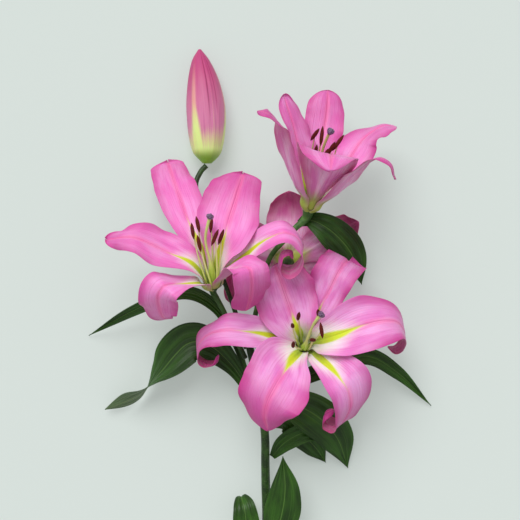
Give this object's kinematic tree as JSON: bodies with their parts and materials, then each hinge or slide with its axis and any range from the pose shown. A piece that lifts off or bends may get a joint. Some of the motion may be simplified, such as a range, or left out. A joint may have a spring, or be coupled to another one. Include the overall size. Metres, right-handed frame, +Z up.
{
  "type": "cut lily stem",
  "caption": "Cut stem of pink Oriental lilies lying on its side, with open recurved flowers, a closed bud and pointed green leaves.",
  "frame": {"origin": "middle of the footprint, on the surface the stem lies on", "axes": "+Y along the stem from its cut end towards the flowers, +Z up from the surface, +X to the right when seen from above with the flowers away from the viewer"},
  "size_m": [0.3092, 0.5224, 0.1408],
  "materials": {
    "petal": "satin",
    "sepal": "satin",
    "bud": "satin",
    "leaf": "satin",
    "stem": "satin",
    "pistil": "satin",
    "stamen": "matte"
  },
  "bodies": {
    "root": {"stem": "stem", "bud": "bud", "bud_pedicel": "stem", "leaf_1": "leaf", "leaf_2": "leaf", "leaf_3": "leaf", "leaf_4": "leaf", "leaf_5": "leaf", "leaf_6": "leaf", "leaf_7": "leaf", "leaf_8": "leaf", "leaf_9": "leaf", "left_pedicel": "stem", "left_pistil": "pistil", "left_petal_1": "petal", "left_petal_2": "petal", "left_petal_3": "petal", "left_sepal_1": "sepal", "left_sepal_2": "sepal", "left_sepal_3": "sepal", "left_stamen_1": "stamen", "left_stamen_2": "stamen", "left_stamen_3": "stamen", "left_stamen_4": "stamen", "left_stamen_5": "stamen", "left_stamen_6": "stamen", "right_pedicel": "stem", "right_pistil": "pistil", "right_petal_1": "petal", "right_petal_2": "petal", "right_petal_3": "petal", "right_sepal_1": "sepal", "right_sepal_2": "sepal", "right_sepal_3": "sepal", "right_stamen_1": "stamen", "right_stamen_2": "stamen", "right_stamen_3": "stamen", "right_stamen_4": "stamen", "right_stamen_5": "stamen", "right_stamen_6": "stamen", "top_pedicel": "stem", "top_pistil": "pistil", "top_petal_1": "petal", "top_petal_2": "petal", "top_petal_3": "petal", "top_sepal_1": "sepal", "top_sepal_2": "sepal", "top_sepal_3": "sepal", "top_stamens": "stamen", "under_pedicel": "stem", "under_pistil": "pistil", "under_petal_1": "petal", "under_petal_2": "petal", "under_petal_3": "petal", "under_sepal_1": "sepal", "under_sepal_2": "sepal", "under_sepal_3": "sepal", "under_stamens": "stamen"}
  },
  "joints": []
}
